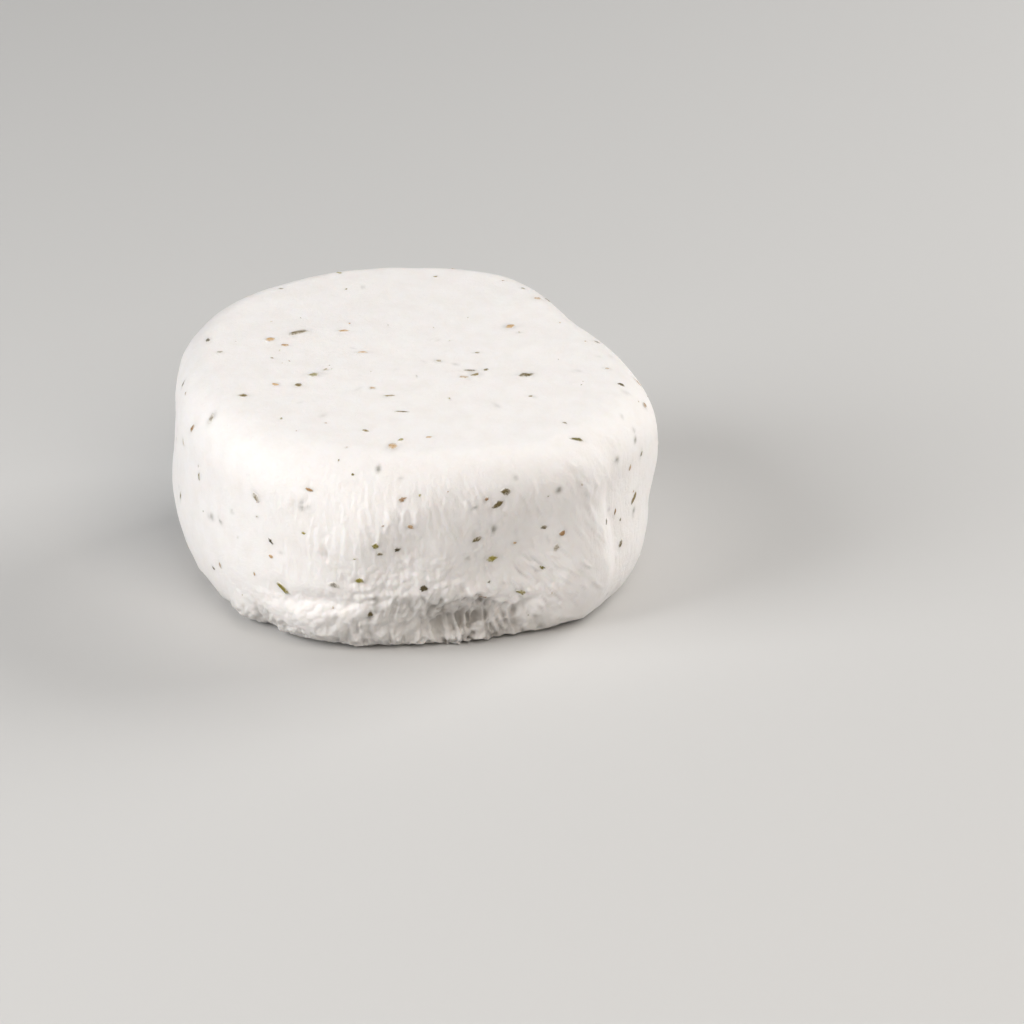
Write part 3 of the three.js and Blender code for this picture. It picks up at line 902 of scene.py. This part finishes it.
def lens_triangles(count, rings, sides):
    """Triangles of the lenses: strips between neighbouring rings, and fans at the first and last."""
    ring, side = np.meshgrid(np.arange(rings - 1), np.arange(sides), indexing="ij")
    here = ring * sides + side
    beside = ring * sides + (side + 1) % sides
    inner = np.stack([here, here + sides, beside + sides], axis=-1)[: rings - 2].reshape(-1, 3)
    outer = np.stack([here, beside + sides, beside], axis=-1)[1:].reshape(-1, 3)
    one = np.concatenate([inner, outer])
    return (one + np.arange(count)[:, None, None] * rings * sides).reshape(-1, 3)


SUNK_DEPTH = 0.95  # how dark the large blots are
STREWN_DEPTH = (0.15, 0.5)
SUNK_SPREAD = 0.45  # half size of a stain, for each unit of its herb's size
FLAKE_DEPTH = (0.15, 0.5)
FLAKE_SPREAD = 0.62
STAIN_REACH = 4  # lengths away at which a stain has died out
STAIN_EVEN = 0.72
STAIN_MOTTLE = (0.9, 1.3, 60)


def stain_round(points, places, strength, spread):
    """How much the herbs at these places darken the curd at each point: an oval bell curve round each."""
    stain = np.zeros(len(points))
    centre = real_skin(places[:, 0], places[:, 1])
    level, upward, _ = skin_axes(places[:, 0], places[:, 1])
    spin = np.radians(places[:, 4])[:, None]
    lengthwise = level * np.cos(spin) + upward * np.sin(spin)
    crosswise = upward * np.cos(spin) - level * np.sin(spin)
    sizes = places[:, 2:4] * spread
    herbs = zip(centre, lengthwise, crosswise, sizes, strength)
    for at, along_way, cross_way, (length, width), depth in herbs:
        away = points - at
        near = np.abs(away).max(axis=1) < STAIN_REACH * length
        u = away[near] @ along_way / length
        v = away[near] @ cross_way / width
        stain[near] = np.maximum(stain[near], depth * np.exp(-u ** 2 - v ** 2))
    return stain * np.clip(STAIN_EVEN + noise_layers(points, STAIN_MOTTLE), 0, 1)


sunk_depth = np.concatenate([
    np.full(len(SUNK_FLAKES), SUNK_DEPTH),
    herb_draw.uniform(*STREWN_DEPTH, SUNK_COUNT),
])
sunk_stain = stain_round(curd_points, sunk, sunk_depth, SUNK_SPREAD)
flake_depth = herb_draw.uniform(*FLAKE_DEPTH, len(flakes))
flake_stain = stain_round(curd_points, flakes, flake_depth, FLAKE_SPREAD)
add_values(curd, "herb_stain", np.maximum(sunk_stain, flake_stain))

# A flake's rings, from its top's middle to its bottom's: share of its size, of its height, and film
FLAKE_RINGS = np.array([0, 0.64, 1, 1, 0])
FLAKE_OUT = np.array([1, 0.9, 0.2, -2.5, -3])
FLAKE_FILM = np.array([0, 0.12, 0.75, 1, 1])
FLAKE_SIDES = 9
FLAKE_RAGGED = 0.26  # how far its outline strays, for each unit of its size
FLAKE_PROUD = 0.16
PROUD_SHARES = (0.6, 1.4)
FILM_UNEVEN = 0.2
FILM_COLOUR = (0.82, 0.785, 0.745, 1)
FILM_LIMITS = (0.58, 1.25)  # film at which it starts to show, and at which it hides the herb
HERB_MOTTLE = (1400, 3, 0.6)
HERB_SPECULAR = 0.3


def herb_material(name, dark, light, roughness):
    """Dry chopped herb of two tones, under a film of curd that covers its rim in a broken line."""
    material = bpy.data.materials.new(name)
    material.use_nodes = True
    nodes, links = material.node_tree.nodes, material.node_tree.links
    shader = nodes["Principled BSDF"]
    place = nodes.new("ShaderNodeTexCoord")
    mottle = noise_node(nodes, *HERB_MOTTLE)
    tone = nodes.new("ShaderNodeAttribute")
    tone.attribute_name = "tone"
    film = nodes.new("ShaderNodeAttribute")
    film.attribute_name = "film"
    lightness = nodes.new("ShaderNodeMath")
    lightness.operation = "MULTIPLY"
    herb = nodes.new("ShaderNodeMix")
    herb.data_type = "RGBA"
    herb.inputs["A"].default_value = (*dark, 1)
    herb.inputs["B"].default_value = (*light, 1)
    broken = nodes.new("ShaderNodeMath")
    broken.operation = "ADD"
    covered = nodes.new("ShaderNodeMapRange")
    covered.inputs["From Min"].default_value = FILM_LIMITS[0]
    covered.inputs["From Max"].default_value = FILM_LIMITS[1]
    skin = nodes.new("ShaderNodeMix")
    skin.data_type = "RGBA"
    skin.inputs["B"].default_value = FILM_COLOUR
    links.new(place.outputs["Object"], mottle.inputs["Vector"])
    links.new(mottle.outputs["Fac"], lightness.inputs[0])
    links.new(tone.outputs["Fac"], lightness.inputs[1])
    links.new(lightness.outputs["Value"], herb.inputs["Factor"])
    links.new(mottle.outputs["Fac"], broken.inputs[0])
    links.new(film.outputs["Fac"], broken.inputs[1])
    links.new(broken.outputs["Value"], covered.inputs["Value"])
    links.new(herb.outputs["Result"], skin.inputs["A"])
    links.new(covered.outputs["Result"], skin.inputs["Factor"])
    links.new(skin.outputs["Result"], shader.inputs["Base Color"])
    shader.inputs["Roughness"].default_value = roughness
    shader.inputs["Specular IOR Level"].default_value = HERB_SPECULAR
    return material


# Each kind's piece, its dark and light tones, and its roughness
HERBS = {
    "leaf": ("herb_leaves", (0.055, 0.043, 0.022), (0.3, 0.225, 0.08), 0.6),
    "stalk": ("herb_stalks", (0.11, 0.094, 0.018), (0.44, 0.375, 0.07), 0.55),
    "husk": ("herb_husks", (0.29, 0.155, 0.06), (0.64, 0.43, 0.23), 0.6),
}
for kind, (name, dark, light, roughness) in HERBS.items():
    chosen = flake_kind == kind
    count = chosen.sum()
    proud = FLAKE_PROUD * herb_draw.uniform(*PROUD_SHARES, count)
    places = np.column_stack([flakes[chosen], proud])
    wobble = 1 + FLAKE_RAGGED * herb_draw.uniform(-1, 1, (count, 1, FLAKE_SIDES))
    points = lens_points(places, FLAKE_RINGS, FLAKE_OUT, FLAKE_SIDES, wobble).reshape(-1, 3)
    triangles = lens_triangles(count, len(FLAKE_RINGS), FLAKE_SIDES)
    finish = herb_material(name, dark, light, roughness)
    herb = new_piece(name, (points - plan_middle) * MM, triangles, finish)
    each = (count, len(FLAKE_RINGS), FLAKE_SIDES)
    uneven = herb_draw.uniform(-FILM_UNEVEN, FILM_UNEVEN, each) * (FLAKE_FILM > 0)[:, None]
    add_values(herb, "film", (FLAKE_FILM[:, None] + flake_film[chosen, None, None] + uneven).ravel())
    add_values(herb, "tone", np.broadcast_to(flake_tone[chosen, None, None], each).ravel())
    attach(herb, "root")

# The stage
# A plain pale floor under soft studio light: a wide light from the left, one from the right and a
# little behind, a weaker one high in front, so that the front hollow lies in soft shade, and a faint
# cool one from over the top.

FLOOR_SIZE = 12.0
FLOOR_COLOUR = (0.62, 0.615, 0.605, 1)
FLOOR_ROUGHNESS = 0.8
half = FLOOR_SIZE / 2
floor_corners = [(-half, -half, 0), (half, -half, 0), (half, half, 0), (-half, half, 0)]
floor_mesh = bpy.data.meshes.new("floor")
floor_mesh.from_pydata(floor_corners, [], [(0, 1, 2, 3)])
floor_material = bpy.data.materials.new("pale_floor")
floor_material.use_nodes = True
floor_shader = floor_material.node_tree.nodes["Principled BSDF"]
floor_shader.inputs["Base Color"].default_value = FLOOR_COLOUR
floor_shader.inputs["Roughness"].default_value = FLOOR_ROUGHNESS
floor_mesh.materials.append(floor_material)
floor = bpy.data.objects.new("floor", floor_mesh)
bpy.context.scene.collection.objects.link(floor)

LIGHT_DISTANCE = 1.5
# Bearing, elevation, size in metres, power in watts, colour
LIGHTS = {
    "left_light": (-155, 29, 0.9, 17.5, (1, 1, 1)),
    "right_light": (28, 29, 0.9, 16.3, (1, 0.985, 0.965)),
    "high_light": (-66, 44, 0.9, 9.8, (1, 0.935, 0.87)),
    "top_light": (90, 84, 0.9, 1.6, (0.8, 0.91, 1)),
}
CHEESE_MIDDLE = Vector((0, 0, HEIGHT / 2 * MM))
for name, (bearing, elevation, size, power, colour) in LIGHTS.items():
    level = np.cos(np.radians(elevation))
    way = Vector((
        level * np.cos(np.radians(bearing)),
        level * np.sin(np.radians(bearing)),
        np.sin(np.radians(elevation)),
    ))
    lamp = bpy.data.lights.new(name, "AREA")
    lamp.shape = "SQUARE"
    lamp.size = size
    lamp.energy = power
    lamp.color = colour
    light = bpy.data.objects.new(name, lamp)
    light.location = CHEESE_MIDDLE + LIGHT_DISTANCE * way
    light.rotation_euler = (-way).to_track_quat("-Z", "Y").to_euler()
    bpy.context.scene.collection.objects.link(light)

STUDIO_GLOW = 0.05
world = bpy.data.worlds.new("studio")
world.use_nodes = True
background = world.node_tree.nodes["Background"]
background.inputs["Color"].default_value = (1, 1, 1, 1)
background.inputs["Strength"].default_value = STUDIO_GLOW
bpy.context.scene.world = world
bpy.context.scene.view_settings.view_transform = "Standard"

# The camera
# A long lens a good way off, looking a little down on the front of the cheese.

CAMERA_ELEVATION = 24.5
FOCAL_PIXELS = 6230
MM_PER_PIXEL = 0.295
PHOTO_PIXELS = 1024
AXIS_PIXEL = (411.3, 558.4)  # where the drum's axis meets the floor in the picture
SENSOR = 36.0  # width of the camera's sensor
tip = np.radians(CAMERA_ELEVATION)
sideways = (PHOTO_PIXELS / 2 - AXIS_PIXEL[0]) * MM_PER_PIXEL
upwards = (AXIS_PIXEL[1] - PHOTO_PIXELS / 2) * MM_PER_PIXEL
distance = FOCAL_PIXELS * MM_PER_PIXEL
camera_place = (
    sideways * np.array([1, 0, 0])
    + upwards * np.array([0, np.sin(tip), np.cos(tip)])
    - distance * np.array([0, np.cos(tip), -np.sin(tip)])
)
lens = bpy.data.cameras.new("camera")
lens.sensor_width = SENSOR
lens.lens = FOCAL_PIXELS * SENSOR / PHOTO_PIXELS
camera = bpy.data.objects.new("camera", lens)
camera.location = (camera_place - plan_middle) * MM
camera.rotation_euler = (np.pi / 2 - tip, 0, 0)
bpy.context.scene.collection.objects.link(camera)
bpy.context.scene.camera = camera
